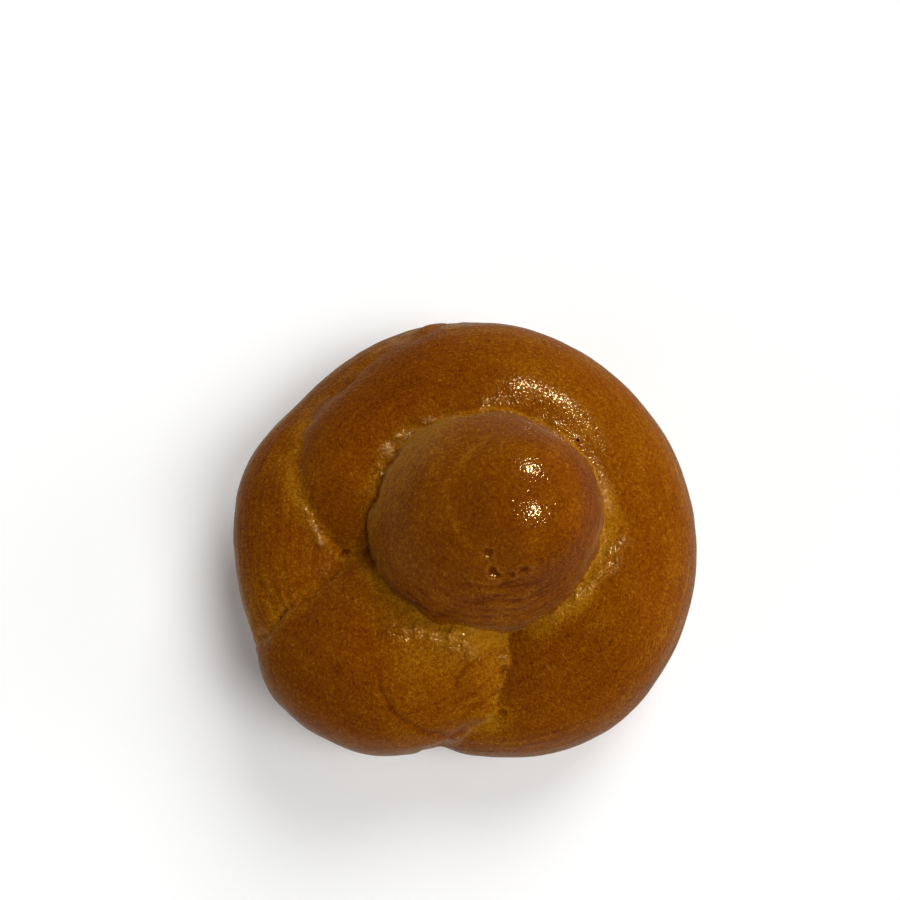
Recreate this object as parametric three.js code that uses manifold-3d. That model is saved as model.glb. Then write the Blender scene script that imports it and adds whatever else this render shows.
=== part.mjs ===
// A challah knot roll: one rope of egg-washed dough, wound about one and a half turns round an
// upright axis and knotted so that its end stands up in the middle as a round knob. It has risen
// and baked until the turns pressed together, on a flat base. One solid, in millimetres, +Z up,
// with its origin on the base, in the middle of the footprint.
import * as THREE from "three";
import { mergeVertices } from "three/addons/utils/BufferGeometryUtils.js";
import Module from "manifold-3d";

// Driving dimensions
const COIL_REACH = 34; // roll's axis to the rope's centre line, in the widest turn
const ROPE_RADIUS = 19; // the risen rope, where it is fattest
const ROLL_HEIGHT = 55; // base to the top of the knob

// Fineness of the facets
const SIDES = 46; // facets round the rope
const ROW_LENGTH = 2.5; // from one ring of facets to the next, along the rope
const CAP_ROWS = 12; // rows of facets over a rounded end

// The rope's stations, in order from the tucked tail to the standing end. Each one gives its turn
// about the axis in degrees, anticlockwise from +X, then its reach as a share of COIL_REACH, its
// height as a share of ROLL_HEIGHT and its girth as a share of ROPE_RADIUS.
const ROPE = {
  // The tail comes out from under the outer turn and swells into the left lobe.
  tail: [
    [64, 0.98, 0.16, 0.42],
    [93, 0.98, 0.24, 0.79],
    [116, 0.98, 0.25, 0.79],
    [140, 1.0, 0.24, 0.71],
    [162, 1.0, 0.27, 0.82],
    [183, 0.98, 0.3, 0.79],
    [203, 1.03, 0.27, 0.68],
    [225, 1.0, 0.2, 0.63],
  ],
  // The outer turn passes under the fold, goes right round, draws in and thins to a pit.
  turn: [
    [225, 1.0, 0.2, 0.63],
    [249, 0.94, 0.18, 0.66],
    [279, 0.86, 0.22, 0.79],
    [306, 0.82, 0.225, 1.04],
    [336, 0.765, 0.235, 1.19],
    [363, 0.76, 0.235, 1.2],
    [392, 0.76, 0.245, 1.215],
    [420, 0.76, 0.26, 1.205],
    [448, 0.745, 0.295, 1.18],
    [480, 0.72, 0.35, 0.95],
    [514, 0.73, 0.39, 0.8],
    [535, 0.75, 0.36, 0.5],
    [549, 0.72, 0.27, 0.42],
  ],
  // From the pit the rope swells again on its way into the fold.
  shoulder: [
    [550, 0.7, 0.25, 0.42],
    [570, 0.68, 0.32, 0.68],
    [588, 0.78, 0.31, 0.86],
  ],
  // The fold lies over the start of the outer turn and heads for the middle.
  fold: [
    [579, 0.99, 0.27, 0.88],
    [588, 0.935, 0.3, 0.94],
    [601, 0.855, 0.32, 0.95],
    [621, 0.66, 0.35, 0.85],
  ],
  // The end of the rope stands up in the middle, leaning a little to the right.
  knob: [
    [55, 0.13, 0.42, 1.17],
    [30, 0.14, 0.53, 1.15],
    [18, 0.2, 0.61, 1.05],
    [14, 0.27, 0.69, 0.9],
  ],
};

// The dough that has flowed together under the turns is a flattened ball on the axis: its half
// width, half height and the height of its middle, as shares of the same driving dimensions.
const MIDDLE = { reach: 1.0, rise: 0.33, height: 0.14 };

const CRUST = new THREE.MeshStandardMaterial({
  name: "egg_washed_crust",
  color: 0x8a4a0c,
  roughness: 0.35,
  metalness: 0,
});

const wasm = await Module();
wasm.setup();

// The closed surface of a geometry as a solid that can be joined and cut.
function solidOf(geometry) {
  geometry.deleteAttribute("normal");
  geometry.deleteAttribute("uv");
  const merged = mergeVertices(geometry);
  const mesh = new wasm.Mesh({
    numProp: 3,
    vertProperties: merged.getAttribute("position").array,
    triVerts: new Uint32Array(merged.index.array),
  });
  return new wasm.Manifold(mesh);
}

// The faces of a solid as a geometry, moved to stand in the middle of its own footprint.
function centredGeometry(solid) {
  const { vertProperties, triVerts } = solid.getMesh();
  const geometry = new THREE.BufferGeometry();
  geometry.setAttribute("position", new THREE.BufferAttribute(vertProperties, 3));
  geometry.setIndex(new THREE.BufferAttribute(triVerts, 1));
  geometry.computeBoundingBox();
  const middle = geometry.boundingBox.getCenter(new THREE.Vector3());
  geometry.translate(-middle.x, -middle.y, 0);
  geometry.computeVertexNormals();
  return geometry;
}

// The middle of the rope at a station.
function centreOf([turn, reach, height]) {
  const angle = THREE.MathUtils.degToRad(turn);
  const place = new THREE.Vector3(Math.cos(angle), Math.sin(angle), 0);
  place.multiplyScalar(reach * COIL_REACH);
  return place.setZ(height * ROLL_HEIGHT);
}

// A length of rope is the skin of a ball drawn along the curve through its stations, swelling and
// thinning on the way. Each ring is the circle where the ball touches that skin, which leans back
// where the ball grows, and the rows of each cap are what is left of the ball at that end.
function lengthOfRope(stations) {
  const path = new THREE.CatmullRomCurve3(stations.map(centreOf));
  const girth = new THREE.SplineCurve(
    stations.map(([, , , share], i) => new THREE.Vector2(i, share * ROPE_RADIUS)),
  );
  const length = path.getLength();
  const rings = Math.ceil(length / ROW_LENGTH);
  const { tangents, normals, binormals } = path.computeFrenetFrames(rings);
  const radiusAt = (ring) => girth.getPoint(path.getUtoTmapping(ring / rings)).y;
  const skin = new THREE.SphereGeometry(1, SIDES, rings + 2 * CAP_ROWS);
  const points = skin.getAttribute("position");
  for (let i = 0; i < points.count; i++) {
    const row = Math.floor(i / (SIDES + 1));
    const ring = THREE.MathUtils.clamp(row - CAP_ROWS, 0, rings);
    const before = Math.max(ring - 1, 0);
    const after = Math.min(ring + 1, rings);
    const growth = (radiusAt(after) - radiusAt(before)) / (((after - before) * length) / rings);
    const beyond = (row - CAP_ROWS - ring) / CAP_ROWS;
    const pole = Math.sign(beyond) * (Math.PI / 2);
    const lean = THREE.MathUtils.lerp(-Math.asin(growth), pole, Math.abs(beyond));
    const around = ((i % (SIDES + 1)) / SIDES) * 2 * Math.PI;
    const radius = radiusAt(ring);
    const across = radius * Math.cos(lean);
    const point = path.getPointAt(ring / rings);
    point.addScaledVector(normals[ring], across * Math.cos(around));
    point.addScaledVector(binormals[ring], -across * Math.sin(around));
    point.addScaledVector(tangents[ring], radius * Math.sin(lean));
    points.setXYZ(i, point.x, point.y, point.z);
  }
  return skin;
}

// The dough between the turns and under the knob.
function middleOfRoll() {
  const ball = new THREE.SphereGeometry(1, SIDES, 2 * CAP_ROWS);
  ball.rotateX(Math.PI / 2);
  ball.scale(MIDDLE.reach * COIL_REACH, MIDDLE.reach * COIL_REACH, MIDDLE.rise * ROLL_HEIGHT);
  return ball.translate(0, 0, MIDDLE.height * ROLL_HEIGHT);
}

// What the baking sheet takes away: everything below the base.
function belowBase() {
  const width = 4 * (COIL_REACH + ROPE_RADIUS);
  return new THREE.BoxGeometry(width, width, ROLL_HEIGHT).translate(0, 0, -ROLL_HEIGHT / 2);
}

let dough = solidOf(middleOfRoll());
for (const stations of Object.values(ROPE)) {
  dough = dough.add(solidOf(lengthOfRope(stations)));
}
dough = dough.subtract(solidOf(belowBase()));

const roll = new THREE.Mesh(centredGeometry(dough), CRUST);
roll.name = "knot_roll";

const part = new THREE.Group();
part.add(roll);

export default part;
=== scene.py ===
"""A challah knot roll: its egg-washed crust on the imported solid, a pale floor, light and camera."""
import math

import bpy
import numpy as np
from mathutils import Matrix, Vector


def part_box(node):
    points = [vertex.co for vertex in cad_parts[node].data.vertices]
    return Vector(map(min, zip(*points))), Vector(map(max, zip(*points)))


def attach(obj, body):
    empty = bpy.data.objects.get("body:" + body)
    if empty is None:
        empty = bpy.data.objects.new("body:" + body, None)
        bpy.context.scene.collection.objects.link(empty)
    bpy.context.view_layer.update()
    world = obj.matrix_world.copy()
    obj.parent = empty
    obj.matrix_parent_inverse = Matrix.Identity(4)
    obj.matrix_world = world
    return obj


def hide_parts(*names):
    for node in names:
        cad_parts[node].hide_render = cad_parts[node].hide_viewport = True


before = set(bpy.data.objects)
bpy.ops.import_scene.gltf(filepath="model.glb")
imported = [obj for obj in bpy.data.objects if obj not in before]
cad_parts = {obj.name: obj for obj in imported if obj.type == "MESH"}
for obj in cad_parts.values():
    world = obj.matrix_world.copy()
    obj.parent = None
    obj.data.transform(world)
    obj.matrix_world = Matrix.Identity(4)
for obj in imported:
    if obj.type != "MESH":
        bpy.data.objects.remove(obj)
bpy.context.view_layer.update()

# The rope of dough. One rope of soft, egg-rich dough is wound about one and a half turns round
# an upright axis and knotted, with its end left standing up in the middle as a knob. Its sizes
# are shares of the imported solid's box, in millimetres.
MM = 0.001
roll_low, roll_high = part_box("knot_roll")
ROLL_WIDTH = (roll_high.x - roll_low.x) / MM
ROLL_HEIGHT = (roll_high.z - roll_low.z) / MM
COIL_REACH = 0.349 * ROLL_WIDTH
ROPE_RADIUS = 0.195 * ROLL_WIDTH
BALL_SPACING = 0.7

# Stations of each length, from the tucked tail to the standing end: turn about the axis in
# degrees, then reach, height and girth as shares of COIL_REACH, ROLL_HEIGHT and ROPE_RADIUS.
ROPE = {
    "tail": [
        (64, 0.98, 0.16, 0.42),
        (93, 0.98, 0.24, 0.79),
        (116, 0.98, 0.25, 0.79),
        (140, 1.0, 0.24, 0.71),
        (162, 1.0, 0.27, 0.82),
        (183, 0.98, 0.3, 0.79),
        (203, 1.03, 0.27, 0.68),
        (225, 1.0, 0.2, 0.63),
    ],
    "turn": [
        (225, 1.0, 0.2, 0.63),
        (249, 0.94, 0.18, 0.66),
        (279, 0.86, 0.22, 0.79),
        (306, 0.82, 0.225, 1.04),
        (336, 0.765, 0.235, 1.19),
        (363, 0.76, 0.235, 1.2),
        (392, 0.76, 0.245, 1.215),
        (420, 0.76, 0.26, 1.205),
        (448, 0.745, 0.295, 1.18),
        (480, 0.72, 0.35, 0.95),
        (514, 0.73, 0.39, 0.8),
        (535, 0.75, 0.36, 0.5),
        (549, 0.72, 0.27, 0.42),
    ],
    "shoulder": [
        (550, 0.7, 0.25, 0.42),
        (570, 0.68, 0.32, 0.68),
        (588, 0.78, 0.31, 0.86),
    ],
    "fold": [
        (579, 0.99, 0.27, 0.88),
        (588, 0.935, 0.3, 0.94),
        (601, 0.855, 0.32, 0.95),
        (621, 0.66, 0.35, 0.85),
    ],
    "knob": [
        (54, 0.108, 0.42, 1.21),
        (25, 0.121, 0.53, 1.19),
        (18, 0.2, 0.61, 1.05),
        (14, 0.27, 0.69, 0.9),
    ],
}


def rope_balls(stations):
    """A length of rope as a row of balls: x, y, z and radius along the centripetal Catmull-Rom
    curve through its stations. Each span is blended, knot by knot, from the straight lines
    through its four nearest stations, and knots lie the square root of a gap apart."""
    turn, reach, height, girth = np.array(stations).T
    turn = np.radians(turn)
    plan = reach * COIL_REACH
    spots = np.stack(
        [plan * np.cos(turn), plan * np.sin(turn), height * ROLL_HEIGHT, girth * ROPE_RADIUS], axis=1
    )
    spots = np.vstack([2 * spots[0] - spots[1], spots, 2 * spots[-1] - spots[-2]])
    gaps = np.linalg.norm(np.diff(spots[:, :3], axis=0), axis=1)
    knots = np.concatenate([[0], np.cumsum(np.sqrt(gaps))])
    spans = []
    for i in range(1, len(spots) - 2):
        count = math.ceil(gaps[i] / BALL_SPACING)
        knot = np.linspace(knots[i], knots[i + 1], count, endpoint=False)[:, None]

        def blend(first, last, start, end):
            share = (knot - knots[first]) / (knots[last] - knots[first])
            return start + (end - start) * share

        lines = [blend(k, k + 1, spots[k], spots[k + 1]) for k in (i - 1, i, i + 1)]
        arcs = [blend(k, k + 2, lines[k - i + 1], lines[k - i + 2]) for k in (i - 1, i)]
        spans.append(blend(i, i + 1, arcs[0], arcs[1]))
    return np.vstack(spans + [spots[-2:-1]])


balls = {name: rope_balls(stations) for name, stations in ROPE.items()}

# Rays from the axis to the skin: one for each point of the grid. Their starts sink below the
# table as they turn upright, so that they run up the sides of the knob and not across its seam.
ROWS = 214
COLUMNS = 456
ROW_SHARES = [0, 0.34, 0.62, 0.94, 1]
ROW_ANGLES = [0.4, 28, 62, 112, 179]
START_HEIGHT = 0.29 * ROLL_HEIGHT
START_DROP = 0.51 * ROLL_HEIGHT
NOWHERE = -1000.0
lean = np.radians(np.interp(np.linspace(0, 1, ROWS), ROW_SHARES, ROW_ANGLES))
heading = np.linspace(0, 2 * np.pi, COLUMNS, endpoint=False)
lean, heading = (grid.ravel() for grid in np.meshgrid(lean, heading, indexing="ij"))
rays = np.stack(
    [np.sin(lean) * np.cos(heading), np.sin(lean) * np.sin(heading), np.cos(lean)], axis=1
)
starts = np.zeros_like(rays)
starts[:, 2] = START_HEIGHT - START_DROP * np.clip(np.cos(lean), 0, 1) ** 2


def far_side(row_of_balls):
    """How far along each ray the skin of a length lies, and on which ball: the larger root t of
    |start + t ray - centre| = radius for every ball, and the largest of them."""
    best = np.full(len(rays), NOWHERE)
    which = np.zeros(len(rays), int)
    for k, (x, y, z, radius) in enumerate(row_of_balls):
        offset = np.array([x, y, z]) - starts
        middle = np.einsum("ij,ij->i", offset, rays)
        inside = middle**2 - np.einsum("ij,ij->i", offset, offset) + radius**2
        reach = np.where(inside > 0, middle + np.sqrt(np.maximum(inside, 0)), NOWHERE)
        nearer = reach > best
        best[nearer] = reach[nearer]
        which[nearer] = k
    return best, which


found = {name: far_side(row) for name, row in balls.items()}

# The middle. The dough under the turns has flowed together into a flattened ball on the axis,
# and the skin on it is the far root of the ray and the ball, as for the rope.
MIDDLE_SIZE = np.array([COIL_REACH, COIL_REACH, 0.33 * ROLL_HEIGHT])
MIDDLE_HEIGHT = 0.14 * ROLL_HEIGHT
unit_ray = rays / MIDDLE_SIZE
unit_start = (starts - [0, 0, MIDDLE_HEIGHT]) / MIDDLE_SIZE
square = np.einsum("ij,ij->i", unit_ray, unit_ray)
cross = np.einsum("ij,ij->i", unit_ray, unit_start)
inside = cross**2 - square * (np.einsum("ij,ij->i", unit_start, unit_start) - 1)
middle_reach = np.where(inside > 0, (np.sqrt(np.maximum(inside, 0)) - cross) / square, NOWHERE)


def pressed_together(reaches, softness):
    """The largest of several reaches, rounded off where two are nearly equal: softness times the
    logarithm of the sum of exp(reach / softness)."""
    top = reaches.max(axis=0)
    return top + softness * np.log(np.exp((reaches - top) / softness).sum(axis=0))


# Where the lengths meet. Shoulder and fold are one piece of rope and flow into each other, and so
# nearly do the tail and the turn that lies over it. Every other pair only touches. The middle is
# the last row of the reaches, after those from TAIL to KNOB.
FLOW = 1.6
LAP = 0.9
TOUCH = 0.35
TAIL, TURN, FOLD, KNOB = range(4)
fold_reach = pressed_together(np.stack([found["shoulder"][0], found["fold"][0]]), FLOW)
reaches = np.stack(
    [found["tail"][0], found["turn"][0], fold_reach, found["knob"][0], middle_reach]
)
NOISE_CELLS = 64


def noise(places, size, seed):
    """Value noise from -1 to 1: random values on a cubic lattice, blended between the eight
    corners of each cell by the smooth step 3s^2 - 2s^3."""
    cells = places / size
    low = np.floor(cells).astype(int)
    share = cells - low
    share = share * share * (3 - 2 * share)
    lattice = np.random.default_rng(seed).uniform(-1, 1, (NOISE_CELLS, NOISE_CELLS, NOISE_CELLS))
    total = np.zeros(len(places))
    for corner in np.ndindex(2, 2, 2):
        weight = np.prod(np.where(corner, share, 1 - share), axis=1)
        total += weight * lattice[tuple(((low + corner) % NOISE_CELLS).T)]
    return total


def hump(value, middle, half):
    """A smooth hump of height 1: exp(-((value - middle) / half)^2)."""
    return np.exp(-(((value - middle) / half) ** 2))


# No two turns meet in an even line: each pushes the other aside a little here and there, and the
# foot of the fold spreads over the turn below it.
MEETING_WIDTH = 3.0
PUSHES = {TAIL: 0.5, TURN: 0.7, FOLD: 0.5, KNOB: 0.35}
FOOT_PLACES = [(4.0, -35.5, 26.0), (-2.0, -40.5, 18.0)]
FOOT_RADIUS = 5.0
FOOT_SPREAD = 1.5
draft = starts + reaches.max(axis=0)[:, None] * rays
in_order = np.sort(reaches, axis=0)
meeting = hump(in_order[-1] - in_order[-2], 0, MEETING_WIDTH)
for strand, push in PUSHES.items():
    uneven = noise(draft, 5.0, 21 + strand) + 0.5 * noise(draft, 2.2, 31 + strand)
    reaches[strand] += push * meeting * uneven
for foot in FOOT_PLACES:
    reaches[FOLD] += FOOT_SPREAD * hump(np.linalg.norm(draft - foot, axis=1), 0, FOOT_RADIUS)
owner = reaches.argmax(axis=0)
lapped = pressed_together(reaches[[TAIL, TURN]], LAP)
reach = pressed_together(np.vstack([lapped[None], reaches[FOLD:]]), TOUCH)

# The base: the roll was baked on a flat tray, so the skin stops at the table, in a soft edge.
BASE_EDGE = 0.5
down = np.minimum(rays[:, 2], -1e-6)
to_table = np.where(rays[:, 2] < 0, -starts[:, 2] / down, -NOWHERE)
reach = -pressed_together(-np.stack([reach, to_table]), BASE_EDGE)
skin = starts + reach[:, None] * rays
skin[:, 2] = np.maximum(skin[:, 2], 0)

# Which way the skin faces, and how far each point lies from the nearest seam between two strands.
# Seams nearer the table than SEAM_FLOOR are out of sight and don't count.
SEAM_FLOOR = 1.0
SEAM_CHUNK = 2000
grid = skin.reshape(ROWS, COLUMNS, 3)
across = np.roll(grid, -1, axis=1) - np.roll(grid, 1, axis=1)
outward = np.cross(np.gradient(grid, axis=0), across).reshape(-1, 3)
outward /= np.linalg.norm(outward, axis=1, keepdims=True) + 1e-9
facing_up = outward[:, 2]

who = owner.reshape(ROWS, COLUMNS)
beside_column = (who != np.roll(who, -1, axis=1)) & (grid[:, :, 2] > SEAM_FLOOR)
beside_row = (who[:-1] != who[1:]) & (grid[:-1, :, 2] > SEAM_FLOOR)
seams = np.vstack(
    [
        ((grid + np.roll(grid, -1, axis=1)) / 2)[beside_column],
        ((grid[:-1] + grid[1:]) / 2)[beside_row],
    ]
).astype(np.float32)
seam = np.concatenate(
    [
        np.sqrt(((some[:, None, :] - seams[None]) ** 2).sum(axis=2).min(axis=1))
        for some in np.array_split(skin.astype(np.float32), len(skin) // SEAM_CHUNK)
    ]
)

# Where a point lies on its strand: how far along it and how far round it. On the knob the lines
# run level instead, because its dough was pulled round as it rose. The middle counts with the turn.
STRANDS_APART = 40.0
LEVEL_SCALE = [1.0, 0.09, 1.2]
order = ["tail", "turn", "shoulder", "fold", "knob"]
rows = [balls[name][:, :3] for name in order]
row_steps = [np.gradient(row, axis=0) for row in rows]
first = dict(zip(order, np.cumsum([0] + [len(row) for row in rows])))
centres = np.vstack(rows)
tangents = np.vstack(row_steps)
tangents /= np.linalg.norm(tangents, axis=1, keepdims=True)
lengths = np.concatenate([np.cumsum(np.linalg.norm(step, axis=1)) for step in row_steps])
turn_ball = first["turn"] + found["turn"][1]
fold_ball = np.where(
    found["shoulder"][0] > found["fold"][0],
    first["shoulder"] + found["shoulder"][1],
    first["fold"] + found["fold"][1],
)
ball = np.choose(
    owner,
    [
        first["tail"] + found["tail"][1],
        turn_ball,
        fold_ball,
        first["knob"] + found["knob"][1],
        turn_ball,
    ],
)
on_tail = owner == TAIL
on_turn = owner == TURN
on_fold = owner == FOLD
on_knob = owner == KNOB
offset = skin - centres[ball]
along = lengths[ball] + np.einsum("ij,ij->i", offset, tangents[ball])
reference = np.where(on_knob[:, None], [[1.0, 0, 0]], [[0, 0, 1.0]])
side = np.cross(tangents[ball], reference)
side /= np.linalg.norm(side, axis=1, keepdims=True)
upper = np.cross(side, tangents[ball])
around = np.arctan2(np.einsum("ij,ij->i", offset, side), np.einsum("ij,ij->i", offset, upper))
around *= 0.8 * ROPE_RADIUS
grain = np.stack([along, around, STRANDS_APART * owner], axis=1)
level = skin * LEVEL_SCALE + [0, 0, STRANDS_APART * KNOB]
grain = np.where(on_knob[:, None], level, grain)


def fade(value, start, end):
    """0 below start, 1 above end, and the smooth step between them."""
    share = np.clip((value - start) / (end - start), 0, 1)
    return share * share * (3 - 2 * share)


def window(turn, middle, half):
    """1 near the middle of a range of turns about the axis, in degrees, and 0 outside it."""
    return 1 - fade(np.abs((turn - middle + 180) % 360 - 180), 0.5 * half, half)


# What rising and baking did to the skin. It swelled unevenly, wrinkled where two turns press on
# each other, and kept the marks of the rolling along each strand. Most marks are zones, about 1 at
# the mark and 0 away from it, placed by their distance from a seam and their bearing from the axis,
# which is 0 on the right and 270 at the front.
SWELLING = [(0.3, 16, 1), (0.15, 7, 2), (0.05, 3.2, 9)]
x, y, z = skin.T
bearing = np.degrees(heading)
plan = np.hypot(x, y)
lumps = sum(depth * noise(skin, size, seed) for depth, size, seed in SWELLING)

# Seams: the crack on the left of the knob, a thin line of skin drawn along its back, the nick
# under the foot of the fold, and the hollow under the end of the lobe on the left.
NICK_BEARING = 263
left_seam = hump(seam, 0, 0.35) * window(bearing, 150, 48) * (plan < 24)
skin_line = on_turn * (plan < 30) * hump(seam, 0.35, 0.3) * window(bearing, 60, 60)
nick = 0.5 * hump(bearing, NICK_BEARING, 4.0) + 0.5 * hump(bearing, NICK_BEARING, 10.0)
nick *= fade(-z, -25, -17)
under_lobe = hump(seam, 0, 0.5) * (plan > 24) * window(bearing, 205, 35)

# The lip of the ring behind the knob, which the egg wash ran down: its crest, and its foot.
lip_crest = hump(seam, 5.2, 1.6)
lip_crest *= 0.6 * window(bearing, 58, 17) + 0.4 * window(bearing, 52, 28)
lip_foot = hump(seam, 1.5, 0.9) * window(bearing, 30, 30)
lip = on_turn * (plan < 40) * (lip_crest + 0.7 * lip_foot)

# Crinkles in the skin beside the seams, where egg wash stood, but few behind and left of the knob.
wet = fade(noise(skin, 6, 3), -0.1, 0.5)
pressed = hump(seam, 1.2, 1.3) * np.where(on_knob, 0.1, 1)
pressed *= 1 - 0.6 * (plan < 30) * (window(bearing, 75, 60) + window(bearing, 160, 45))
crinkled = np.clip(pressed * wet + 0.1 * lip, 0, 1)
crinkles = crinkled * (0.3 * (0.4 - np.abs(noise(skin, 2.3, 4))) + 0.1 * noise(skin, 1.0, 7))


def from_lines(lines):
    """Distance in plan from each point of the skin to the nearest of some straight lines, each
    given by its two ends: the length of the offset less its part along the line."""
    distances = []
    for ends in lines:
        start, end = np.array(ends)
        run = end - start
        share = np.clip((skin[:, :2] - start) @ run / (run @ run), 0, 1)
        distances.append(np.linalg.norm(skin[:, :2] - start - share[:, None] * run, axis=1))
    return np.min(distances, axis=0)


# Wrinkles that were squeezed up beside the knob, on the fold and on the lobe, as the places in
# plan where each one starts and ends. Those on the fold are broader.
WRINKLES = [
    ((27.5, -5.5), (31.0, -3.5)),
    ((25.0, -10.0), (29.0, -7.5)),
    ((20.5, -14.0), (24.0, -11.5)),
    ((15.5, -17.0), (20.0, -15.0)),
    ((-14.0, 17.0), (-10.5, 18.0)),
    ((-17.5, 11.5), (-15.5, 9.5)),
    ((-17.2, 14.2), (-15.4, 14.8)),
    ((-9.0, 20.2), (-7.0, 20.2)),
    ((3.0, 23.5), (10.5, 26.0)),
    ((-10.0, -20.5), (-6.5, -21.1)),
    ((-7.5, -21.4), (-3.0, -22.0)),
    ((-4.5, -21.7), (-0.5, -23.1)),
    ((-2.5, -22.9), (1.0, -24.5)),
    ((-14.5, -20.0), (-12.5, -20.8)),
    ((7.6, -25.0), (7.8, -27.0)),
    ((-32.6, 5.0), (-28.8, -3.2)),
]
WRINKLE_WIDTH = 0.75
FOLD_BROADER = 1.9
broad = np.where(on_fold, FOLD_BROADER, 1)
squeezed = ~on_knob * fade(facing_up, 0.2, 0.5)
squeezed *= hump(from_lines(WRINKLES) + 0.4 * noise(skin, 1.6, 18), 0, WRINKLE_WIDTH * broad)
crinkled = np.clip(crinkled + squeezed, 0, 1)

# Lines in the skin of the fold, which was strained as it was pulled over.
FOLD_LINES = [
    ((2.6, -25.0), (-1.8, -29.3)),
    ((-1.8, -29.3), (-3.1, -34.0)),
    ((7.5, -27.0), (1.3, -32.3)),
    ((1.3, -32.3), (-2.7, -34.0)),
    ((6.5, -31.5), (-0.4, -36.1)),
]
strained = on_fold * hump(from_lines(FOLD_LINES) + 0.5 * noise(skin, 2.5, 26), 0, 0.4)

# Creases where the tail is drawn in under the fold.
PINCHES = [
    ((-41.0, -10.0), (-37.5, -17.0)),
    ((-38.5, -10.5), (-36.0, -17.5)),
    ((-35.5, -12.5), (-34.5, -18.0)),
    ((-32.5, -13.5), (-33.0, -17.0)),
]
pinched = on_tail * hump(from_lines(PINCHES) + 0.3 * noise(skin, 1.6, 25), 0, 0.55)

# Level creases low on the front of the knob, with their length in degrees of bearing.
CREASE_LENGTH = 22
CREASE_GAP = 1.3
low_flank = on_knob * fade(-y, 10, 15) * fade(seam, 0.4, 2.0)
crease_row = z / CREASE_GAP + 0.6 * noise(skin, 6, 19)
crease_place = np.stack([bearing / CREASE_LENGTH, crease_row, 0 * z], axis=1)
creases = 0.4 * low_flank * hump(noise(crease_place, 1, 5), 0.1, 0.13)

# The fold swelled into a pillow, with a tuck round its left and front.
PILLOW_PLACE = np.array([-5.0, -28.0])
PILLOW_WIDTH = 12.0
PILLOW_DEPTH = 11.6
pillow_x, pillow_y = (skin[:, :2] - PILLOW_PLACE).T
pillow_side = np.degrees(np.arctan2(pillow_y, pillow_x))
from_edge = PILLOW_WIDTH * (np.hypot(pillow_x / PILLOW_WIDTH, pillow_y / PILLOW_DEPTH) - 1)
tuck = on_fold * hump(from_edge + 0.5 * noise(skin, 3, 15), 0, 0.5)
tuck *= window(pillow_side, 245, 95)

# Bubbles that burst in the oven left small craters with raised rims: place and radius of each.
CRATERS = [
    ((3.9, -8.1, 50.8), 1.0),
    ((4.7, -11.5, 48.1), 1.15),
    ((1.7, -12.3, 46.5), 0.85),
    ((10.4, -10.9, 48.8), 1.2),
    ((8.0, -11.8, 47.9), 0.7),
    ((18.0, -11.7, 42.6), 0.85),
    ((6.8, -35.4, 26.6), 0.9),
    ((-25.0, -4.1, 28.8), 1.1),
]
hollow = np.zeros(len(skin))
rim = np.zeros(len(skin))
for spot, radius in CRATERS:
    distance = np.linalg.norm(skin - spot, axis=1) + 0.7 * radius * noise(skin, 0.9, 17)
    hollow += radius * hump(distance, 0.2 * radius, 0.55 * radius)
    rim += radius * hump(distance, 1.15 * radius, 0.35 * radius)

# Marks of the rolling, drawn out along each strand: most on the tail and on steep sides.
MARK_LENGTH = 11
drawn = np.where(on_tail, 0.9, 0.25 + 0.5 * fade(-facing_up, -0.75, -0.4)) * fade(seam, 0.3, 2.5)
drawn = np.where(on_fold, 0.3 * fade(seam, 0.3, 2), drawn)
drawn = np.where(on_knob, 0.5 * fade(-z, -52, -44), drawn)
mark_place = np.stack([along / MARK_LENGTH, around, STRANDS_APART * owner], axis=1)
marks = drawn * noise(mark_place, 1, 6)

# How far each zone stands out of the skin or lies below it, fading out towards the table.
ridges = squeezed * (broad + 0.5 * on_tail) * (0.75 + 0.5 * noise(skin, 0.9, 24))
relief = [
    (1.0, lumps),
    (-0.5, under_lobe),
    (0.15, skin_line),
    (-0.1, left_seam),
    (-2.0, nick),
    (0.12, lip),
    (-0.45, pinched),
    (-0.25, strained),
    (1.0, crinkles),
    (0.6, ridges),
    (0.09, marks),
    (-0.45, creases),
    (-0.25, tuck),
    (-0.4, hollow),
    (0.16, rim),
]
rise = sum(depth * zone for depth, zone in relief)
skin += (rise * fade(z, 0.2, 4))[:, None] * outward

# The seams waver from side to side.
WAVER = 0.7
waver = np.stack(
    [noise(skin, 6.0, 41 + k) + 0.6 * noise(skin, 2.6, 43 + k) for k in range(2)], axis=1
)
skin[:, :2] += WAVER * (hump(seam, 0, 3.0) * fade(z, 4, 12))[:, None] * waver
skin[:, 2] = np.maximum(skin[:, 2], 0)

# How far the skin has browned, with painted shade and painted light mixed in. It browned most on
# the right of the knob and on crests, and least in the seams, where the skin was stretched late.
# Creases, the crack, hollows, the left of the roll and steep sides at the front are darker as
# painted shade, and the right of the turn, the steep rim of the tail and crater rims are paler as
# painted light. The knob has a round cap, whose edge on the left is a thin pale crescent.
CAP_PLACE = np.array([8.6, 1.8])
CAP_RADIUS = 12.2
CAP_EDGE = 3.0
past_cap = np.linalg.norm(skin[:, :2] - CAP_PLACE, axis=1) - CAP_RADIUS
cap = on_knob * fade(-past_cap - 1.6 * noise(skin, 5, 11), -CAP_EDGE, CAP_EDGE)
knob_wall = on_knob * (1 - cap)

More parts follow.
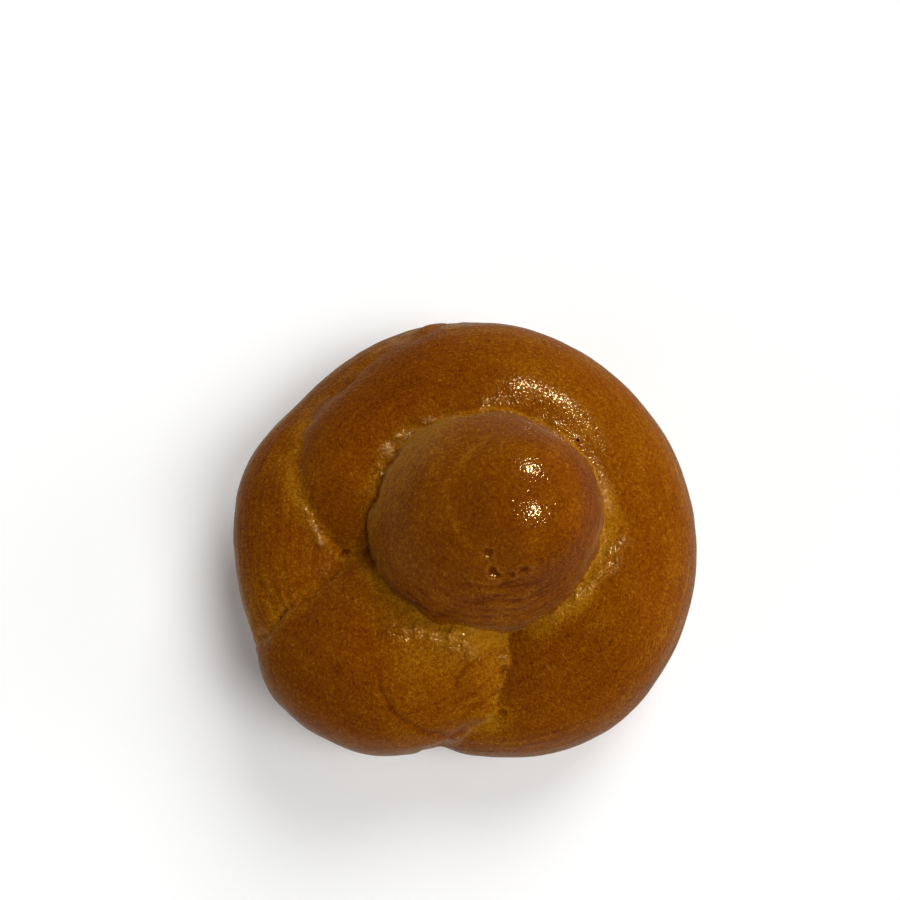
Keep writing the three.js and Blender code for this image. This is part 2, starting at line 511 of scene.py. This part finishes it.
# Skin that was stretched late stays yellow: wide and bright beside the front and right of the knob,
# narrow under the lobe, and hardly at all along the back.
width = 2.6 + 1.2 * noise(skin, 7, 12)
width -= 1.3 * (plan > 24) * (window(bearing, 200, 40) + window(bearing, 272, 30))
yellow = 0.75 + 0.3 * window(bearing, 320, 75) + 0.25 * noise(skin, 9, 13)
yellow += 0.3 * window(bearing, 232, 40) + 0.4 * (plan < 34) * window(bearing, 340, 40)
yellow -= 0.75 * (plan < 30) * window(bearing, 60, 55)
yellow -= 0.35 * (plan > 24) * window(bearing, 202, 28)
yellow *= 1 - 0.85 * on_turn * (plan > 21) * window(bearing, 284, 22)
yellow *= 1 - 0.7 * (plan > 30) * window(bearing, 110, 38)
knob_foot = 0.4 * hump(seam, 0, 0.7) + 1.1 * window(bearing, 150, 75) * hump(seam, 0, 4.0)
knob_foot += 0.5 * window(bearing, 140, 55) * hump(seam, 0, 9.0)
stretched = np.where(on_knob, knob_foot, hump(seam, 0, width) * yellow)
stretched += 0.4 * on_fold * (plan < 34) * hump(seam, 2.5, 4.5) * window(bearing, 252, 50)

# The palest skin, where the fold was pinched down on the turn below it.
PALE_PLACE = [4.5, -36.5, 25.0]
PALE_RADIUS = 3.6
pale = hump(np.linalg.norm(skin - PALE_PLACE, axis=1), 0, PALE_RADIUS)
pale *= 0.8 + 0.4 * noise(skin, 2.2, 16)

# The pale crescent at the left edge of the cap.
cap_side = np.degrees(np.arctan2(y - CAP_PLACE[1], x - CAP_PLACE[0]))
crescent = on_knob * hump(past_cap + 0.8 * noise(skin, 4, 20), 0, 0.6) * window(cap_side, 180, 75)

# How much darker each zone is than evenly browned skin, or how much paler.
EVEN_BAKE = 0.5
browning_and_shading = [
    (0.08, fade(facing_up, 0.2, 0.95)),
    (0.02, cap),
    (-0.03, knob_wall * window(bearing, 140, 110)),
    (0.28, knob_wall * window(bearing, 10, 80)),
    (-0.2, crescent),
    # Pale stretched skin along the back of the knob, painted paler still as the highlight on its
    # raised edge.
    (-0.5, skin_line),
    (0.1, noise(skin, 15, 8)),
    (0.07, noise(skin, 6, 14)),
    (-0.58, 1 - np.exp(-1.3 * stretched - pale)),
    # Painted shade: the left of the turn, turned from the lamps, darker.
    (0.12, on_turn * window(bearing, 150, 70)),
    # Painted light: the right of the turn, towards the lamps, paler.
    (-0.05, on_turn * window(bearing, 10, 60)),
    (0.05, on_turn * (plan > 28) * window(bearing, 325, 35)),
    # Painted shade: steep sides at the front, turned from the lamps, darker.
    (0.15, ~on_knob * fade(-facing_up, -0.65, -0.25) * window(bearing, 280, 80)),
    (-0.1, on_fold * fade(x, -18, -8) * fade(y, -36, -25)),
    # Painted shade: the left end of the fold darker.
    (0.04, on_fold * fade(-x, 14, 20)),
    (-0.12, on_fold * hump(np.hypot(x + 24.0, y + 11.0), 0, 7.0)),
    # Painted shade: the tail, on the left of the roll, darker.
    (0.04, on_tail),
    # Painted sheen: the steep outer rim of the tail paler.
    (-0.2, on_tail * fade(-facing_up, -0.7, -0.3)),
    (-0.22, on_tail * hump(np.hypot(x + 38.0, y + 13.0), 0, 5.0)),
    # Painted shade: creases, tuck, crack, pinches, strained lines, the groove under the lobe and
    # crater hollows darker, as the shade in them.
    (0.55, creases),
    (0.25, tuck),
    (0.25, left_seam),
    (0.12, pinched),
    (0.22, strained),
    (0.2, under_lobe),
    (0.3, hollow),
    # Painted highlight: the raised rims of the craters paler, as the light they catch.
    (-0.25, rim),
]
bake = EVEN_BAKE + sum(amount * zone for amount, zone in browning_and_shading)

# Where the egg wash shines: on the knob, though less on its back wall, and on the lip and the
# wrinkles. The rest of the top soaked it up and is dry.
glaze = np.clip(cap + 0.2 * lip, 0, 1)
shine = [
    (1.0, on_knob),
    (-0.6, knob_wall * window(bearing, 50, 80)),
    (1.4, lip),
    (1.3, squeezed),
    (0.25, crinkled),
    (-0.7, hollow),
]
shiny = np.clip(sum(amount * zone for amount, zone in shine), 0, 1)
dry = (1 - shiny) * fade(facing_up, 0.35, 0.75)
crumpled = np.clip(squeezed + 0.5 * crinkled, 0, 1)

# The crust as one closed skin, its two poles filled by fans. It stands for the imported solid, so it
# is centred on the axis as that is, and it carries the zones that its finish needs.
centre_shift = (skin[:, :2].min(axis=0) + skin[:, :2].max(axis=0)) / 2
skin[:, :2] -= centre_shift
top = skin[:COLUMNS].mean(axis=0)
bottom = skin[-COLUMNS:].mean(axis=0)
points = np.vstack([skin, top, bottom])
index = np.arange(ROWS * COLUMNS).reshape(ROWS, COLUMNS)
beside = np.roll(index, -1, axis=1)
quads = np.stack([index[:-1], index[1:], beside[1:], beside[:-1]], axis=-1).reshape(-1, 4)
top_fan = np.stack([np.full(COLUMNS, len(skin)), index[0], beside[0]], axis=-1)
bottom_fan = np.stack([np.full(COLUMNS, len(skin) + 1), beside[-1], index[-1]], axis=-1)
faces = quads.tolist() + top_fan.tolist() + bottom_fan.tolist()
mesh = bpy.data.meshes.new("crust")
mesh.from_pydata((points * MM).tolist(), [], faces)
mesh.shade_smooth()
zones = {
    "bake": bake,
    "glaze": glaze,
    "dry": dry,
    "drawn": drawn,
    "lined": low_flank,
    "crumpled": crumpled,
}


def with_poles(values):
    """The values at the grid's points, with the first and the last again for the two poles."""
    return np.concatenate([values, values[:1], values[-1:]]).astype(np.float32)


for name, values in zones.items():
    mesh.attributes.new(name, "FLOAT", "POINT").data.foreach_set("value", with_poles(values))
layer = mesh.attributes.new("grain", "FLOAT_VECTOR", "POINT")
layer.data.foreach_set("vector", with_poles(grain).ravel())
crust = bpy.data.objects.new("crust", mesh)
bpy.context.scene.collection.objects.link(crust)
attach(crust, "root")
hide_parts("knot_roll")


class Flow:
    """The output of a shader node, so that shader maths reads as arithmetic."""

    tree = None

    def __init__(self, socket):
        self.socket = socket

    @classmethod
    def node(cls, kind, settings=None, inputs=None, output=0):
        """A new node of any kind: its settings first, ramp stops among them, then its inputs."""
        made = cls.tree.nodes.new("ShaderNode" + kind)
        for name, value in (settings or {}).items():
            if name == "stops":
                ramp = made.color_ramp.elements
                while len(ramp) < len(value):
                    ramp.new(1)
                for stop, (position, colour) in zip(ramp, value):
                    stop.position = position
                    stop.color = (*colour, 1)
            else:
                setattr(made, name, value)
        for name, value in (inputs or {}).items():
            if isinstance(value, cls):
                cls.tree.links.new(value.socket, made.inputs[name])
            else:
                made.inputs[name].default_value = value
        return cls(made.outputs[output])

    def maths(self, operation, *others):
        """A Math node on this value and any others."""
        return Flow.node("Math", {"operation": operation}, dict(enumerate((self, *others))))

    def clamp(self):
        """This value kept from 0 to 1."""
        return Flow.node("Clamp", {}, {"Value": self})

    def fade(self, start, end):
        """0 before start, 1 past end, and the smooth step between them."""
        settings = {"interpolation_type": "SMOOTHSTEP"}
        return Flow.node("MapRange", settings, {"Value": self, "From Min": start, "From Max": end})

    def feeds(self, socket):
        """Links this value to a shader's socket."""
        Flow.tree.links.new(self.socket, socket)

    def __add__(self, other):
        return self.maths("ADD", other)

    def __sub__(self, other):
        return self.maths("SUBTRACT", other)

    def __rsub__(self, other):
        return Flow.node("Math", {"operation": "SUBTRACT"}, {0: other, 1: self})

    def __mul__(self, other):
        return self.maths("MULTIPLY", other)

    def __truediv__(self, other):
        return self.maths("DIVIDE", other)

    def __neg__(self):
        return self.maths("MULTIPLY", -1)

    __radd__ = __add__
    __rmul__ = __mul__


# The finish of the crust: flour, egg and sugar browned in the oven under a thin coat of beaten egg.
# Its skin is grainy all over. Where the coat stands it is glossy, and each grain glints, and where
# it soaked in the skin is dull.
material = bpy.data.materials.new("crust")
material.use_nodes = True
mesh.materials.append(material)
Flow.tree = material.node_tree
Flow.tree.nodes.remove(Flow.tree.nodes["Principled BSDF"])


def attribute(name, output="Fac"):
    """A zone that the mesh carries."""
    return Flow.node("Attribute", {"attribute_name": name}, {}, output)


def speckle(places, size, detail, seed, curl=0.0):
    """Noise about 0, from about -0.5 to 0.5, with blots of a size in millimetres."""
    inputs = {"Vector": places, "Scale": 1 / size, "Detail": detail, "W": seed, "Distortion": curl}
    return Flow.node("TexNoise", {"noise_dimensions": "4D"}, inputs) - 0.5


def from_dots(size):
    """Distance from the nearest of many scattered dots, as a share of the size between them."""
    return Flow.node("TexVoronoi", {}, {"Vector": place, "Scale": 1 / size}, "Distance")


def away_from(spot):
    """How far a point of the crust lies from a spot, in millimetres."""
    return Flow.node("VectorMath", {"operation": "DISTANCE"}, {0: place, 1: spot}, "Value")


def bell(value, middle, half):
    """The same smooth hump in the shader: exp(-((value - middle) / half)^2)."""
    part = (value - middle) / half
    return (-(part * part)).maths("EXPONENT")


# Places in millimetres, as the shape was worked out, and places along the strand, which stretch
# the blots of a noise into wisps.
ALONG_STRAND = (0.09, 1.0, 1.0)
object_place = Flow.node("TexCoord", {}, {}, "Object")
place = Flow.node("VectorMath", {"operation": "SCALE"}, {0: object_place, "Scale": 1 / MM})
place = Flow.node("VectorMath", {"operation": "ADD"}, {0: place, 1: (*centre_shift, 0)})
strand_place = Flow.node(
    "VectorMath", {"operation": "MULTIPLY"}, {0: attribute("grain", "Vector"), 1: ALONG_STRAND}
)

# The grain of the skin and its coarser mottling, wisps drawn out along the strands, thin broken
# lines low on the knob, painted dark as the shade in their grooves, and a few pimples.
PIMPLE_GAP = 4.5
granules = speckle(place, size=0.65, detail=2.5, seed=0.0, curl=0.8)
fine = speckle(place, size=0.3, detail=1.0, seed=3.0)
mottle = speckle(place, size=3.0, detail=3.0, seed=5.0)
wisps = speckle(strand_place, size=0.8, detail=2.5, seed=7.0)
ragged = speckle(place, size=1.1, detail=1.0, seed=9.0)
thin_lines = bell(speckle(strand_place, size=1.3, detail=0.5, seed=11.0), 0.04, 0.04)
thin_lines = attribute("lined") * thin_lines
thin_lines = thin_lines * speckle(place, size=4.0, detail=0.0, seed=13.0).fade(-0.1, 0.1)
pimple = from_dots(PIMPLE_GAP).fade(0.1, 0.05)
drawn_out = attribute("drawn")
glazed = attribute("glaze")

# A scorched speck on the lip, and a blister at the back with a pale rim.
SPECK_PLACE = (22.0, 16.8, 36.7)
BLISTER_PLACE = (-3.3, 44.2, 27.1)
speck = (away_from(SPECK_PLACE) + 0.3 * ragged).fade(0.45, 0.3)
blister = away_from(BLISTER_PLACE) + 1.2 * ragged + 0.8 * mottle
blister_rim = bell(blister, 1.9, 0.45)

# Colour, from pale stretched skin to the darkest browning.
PALE_SKIN = (0.36, 0.15, 0.006)
GOLDEN = (0.29, 0.1, 0.003)
BROWN = (0.2, 0.053, 0.001)
RED_BROWN = (0.18, 0.041, 0.001)
MAHOGANY = (0.11, 0.023, 0.001)
SCORCHED = (0.004, 0.001, 0.001, 1)
BROWNING_STOPS = [
    (0.0, PALE_SKIN),
    (0.25, GOLDEN),
    (0.55, BROWN),
    (0.75, RED_BROWN),
    (1.0, MAHOGANY),
]
baked_with_shading = attribute("bake") + 1.3 * granules + 1.0 * fine + 0.35 * mottle
baked_with_shading = baked_with_shading + (0.2 + 0.7 * drawn_out) * wisps
baked_with_shading = baked_with_shading - 0.25 * bell(blister, 0.6, 1.0) - 0.35 * blister_rim
# Painted shade: the thin lines low on the knob darker, as the shade in their grooves.
baked_with_shading = baked_with_shading + 0.5 * thin_lines - 0.2 * pimple
browned_with_shading = Flow.node("ValToRGB", {"stops": BROWNING_STOPS}, {"Fac": baked_with_shading})
crust_colour = Flow.node("Mix", {"data_type": "RGBA"}, {0: speck, 6: browned_with_shading, 7: SCORCHED}, 2)

# Relief too fine for the mesh, in millimetres: each grain is a low dome, lower on the cap.
GRAIN_SIZE = 0.58
GRAIN_HEIGHT = 0.12
CAP_GRAIN_LOSS = 0.065
from_grain = from_dots(GRAIN_SIZE)
domes = -(from_grain * from_grain * from_grain)
height = (GRAIN_HEIGHT - CAP_GRAIN_LOSS * glazed) * domes + 0.03 * granules + 0.01 * fine
height = height + (0.02 + 0.2 * drawn_out) * wisps + 0.08 * mottle
height = height * (1 + 0.7 * attribute("crumpled"))
height = height + 0.1 * blister_rim - 0.05 * thin_lines + 0.08 * pimple
dry_height = height + 0.25 * granules + 0.12 * fine
bump = Flow.node("Bump", {}, {"Height": height, "Distance": MM, "Strength": 1.0})
dry_bump = Flow.node("Bump", {}, {"Height": dry_height, "Distance": MM, "Strength": 1.0})

# The glossy coat, whose glints are golden, and the dull skin, mixed by how dry the crust is. Both
# have a faint bloom.
BLOOM = {
    "Sheen Weight": 0.1,
    "Sheen Roughness": 0.3,
    "Sheen Tint": (1.0, 0.9, 0.75, 1),
}
coat_finish = {
    "Base Color": crust_colour,
    "Normal": bump,
    "Roughness": (0.11 - 0.02 * glazed + 0.04 * mottle).clamp(),
    "Specular IOR Level": 0.4,
    "Specular Tint": (1.0, 0.75, 0.34, 1),
}
dull_finish = {
    "Base Color": crust_colour,
    "Normal": dry_bump,
    "Roughness": 0.6,
    "Specular IOR Level": 0.0,
}
coat = Flow.node("BsdfPrincipled", {}, coat_finish | BLOOM)
dull = Flow.node("BsdfPrincipled", {}, dull_finish | BLOOM)
surface = Flow.node("MixShader", {}, {0: attribute("dry"), 1: coat, 2: dull})
surface.feeds(Flow.tree.nodes["Material Output"].inputs["Surface"])

# The floor: one plain, pale, matt sheet, far wider than the view. It glows a little, so that it
# comes out near white, and it isn't mirrored in the glaze. Its reach is in metres.
FLOOR_REACH = 3
FLOOR_FINISH = {
    "Base Color": (0.93, 0.93, 0.925, 1),
    "Roughness": 0.9,
    "Emission Color": (1, 1, 1, 1),
    "Emission Strength": 0.1,
    "Specular IOR Level": 0.0,
}
floor_points = [
    (-FLOOR_REACH, -FLOOR_REACH, 0),
    (FLOOR_REACH, -FLOOR_REACH, 0),
    (FLOOR_REACH, FLOOR_REACH, 0),
    (-FLOOR_REACH, FLOOR_REACH, 0),
]
floor_mesh = bpy.data.meshes.new("floor")
floor_mesh.from_pydata(floor_points, [], [(0, 1, 2, 3)])
floor = bpy.data.objects.new("floor", floor_mesh)
bpy.context.scene.collection.objects.link(floor)
floor.visible_glossy = False
floor_material = bpy.data.materials.new("floor")
floor_material.use_nodes = True
floor_mesh.materials.append(floor_material)
floor_shader = floor_material.node_tree.nodes["Principled BSDF"]
for socket, value in FLOOR_FINISH.items():
    floor_shader.inputs[socket].default_value = value

# The room: plain soft studio light from all round, stronger from the sides than from above. The
# glaze mirrors a warm, dim room that is brightest low down, and behind the floor the room is pale.
ROOM_WHITE = (1, 1, 1, 1)
MIRRORED_TONE = (1, 0.86, 0.68, 1)
SEEN_GLOW = 0.65
world = bpy.data.worlds.new("room")
bpy.context.scene.world = world
world.use_nodes = True
Flow.tree = world.node_tree
seen = Flow.node("LightPath", {}, {}, "Is Camera Ray")
mirrored = Flow.node("LightPath", {}, {}, "Is Glossy Ray")
sky = Flow.node("SeparateXYZ", {}, {0: Flow.node("TexCoord", {}, {}, "Generated")}, "Z")
room_glow = 0.19 - 0.13 * sky.fade(0.0, 0.7)
mirrored_glow = 0.24 - 0.21 * sky.fade(-0.35, 0.1)
glow = room_glow * (1 - mirrored) + mirrored_glow * mirrored + SEEN_GLOW * seen
room_tones = {0: mirrored, 6: ROOM_WHITE, 7: MIRRORED_TONE}
tone = Flow.node("Mix", {"data_type": "RGBA"}, room_tones, 2)
background = Flow.tree.nodes["Background"]
tone.feeds(background.inputs["Color"])
glow.feeds(background.inputs["Strength"])
bpy.context.scene.view_settings.view_transform = "Standard"


def lamp(name, azimuth, elevation, width, share, glints):
    """A round lamp far off in a direction, some degrees wide and so strong that a white card facing
    it would come out at the share of full white. It either glints on the glaze or lights the rest."""
    light = bpy.data.lights.new(name, "SUN")
    light.angle = math.radians(width)
    light.energy = share * math.pi
    lit = bpy.data.objects.new(name, light)
    lit.rotation_euler = (0, math.radians(90 - elevation), math.radians(azimuth))
    lit.visible_glossy = glints
    lit.visible_diffuse = not glints
    bpy.context.scene.collection.objects.link(lit)


# The lamps: two soft main lamps behind and to the right, each with a small bright lamp by it that
# only glints on the glaze, and three weak, wide lamps that lift the shaded sides.
lamp("key_back", azimuth=60, elevation=40, width=34, share=0.55, glints=False)
lamp("key_right", azimuth=-22, elevation=54, width=34, share=0.55, glints=False)
lamp("glint_back", azimuth=60, elevation=40, width=5.7, share=0.9, glints=True)
lamp("glint_right", azimuth=-22, elevation=63, width=5.7, share=0.9, glints=True)
lamp("fill_front", azimuth=265, elevation=22, width=45, share=0.075, glints=False)
lamp("fill_left", azimuth=200, elevation=8, width=45, share=0.19, glints=False)
lamp("fill_right", azimuth=5, elevation=10, width=45, share=0.34, glints=False)

# The camera looks down on the roll from the front, as the photograph does. Its distance is in
# millimetres and its focal length in pixels of the photograph. The roll's axis comes out a little
# right of the picture's middle and well below it.
PHOTO_WIDTH = 900
SENSOR_WIDTH = 36
ELEVATION = math.radians(75)
DISTANCE = 250.0
FOCAL = 1216.0
AIM_HEIGHT = 22.0
PIXELS_RIGHT = 16
PIXELS_BELOW = 88
pixel = DISTANCE / FOCAL
back = np.array([0, -math.cos(ELEVATION), math.sin(ELEVATION)])
right = np.array([1.0, 0, 0])
up = np.cross(back, right)
stand = np.array([-centre_shift[0], -centre_shift[1], AIM_HEIGHT]) + back * DISTANCE
stand += (PIXELS_BELOW * up - PIXELS_RIGHT * right) * pixel
camera = bpy.data.objects.new("camera", bpy.data.cameras.new("camera"))
camera.data.lens = SENSOR_WIDTH * FOCAL / PHOTO_WIDTH
camera.data.clip_start = 0.01
camera.location = stand * MM
camera.rotation_euler = (math.pi / 2 - ELEVATION, 0, 0)
bpy.context.scene.collection.objects.link(camera)
bpy.context.scene.camera = camera
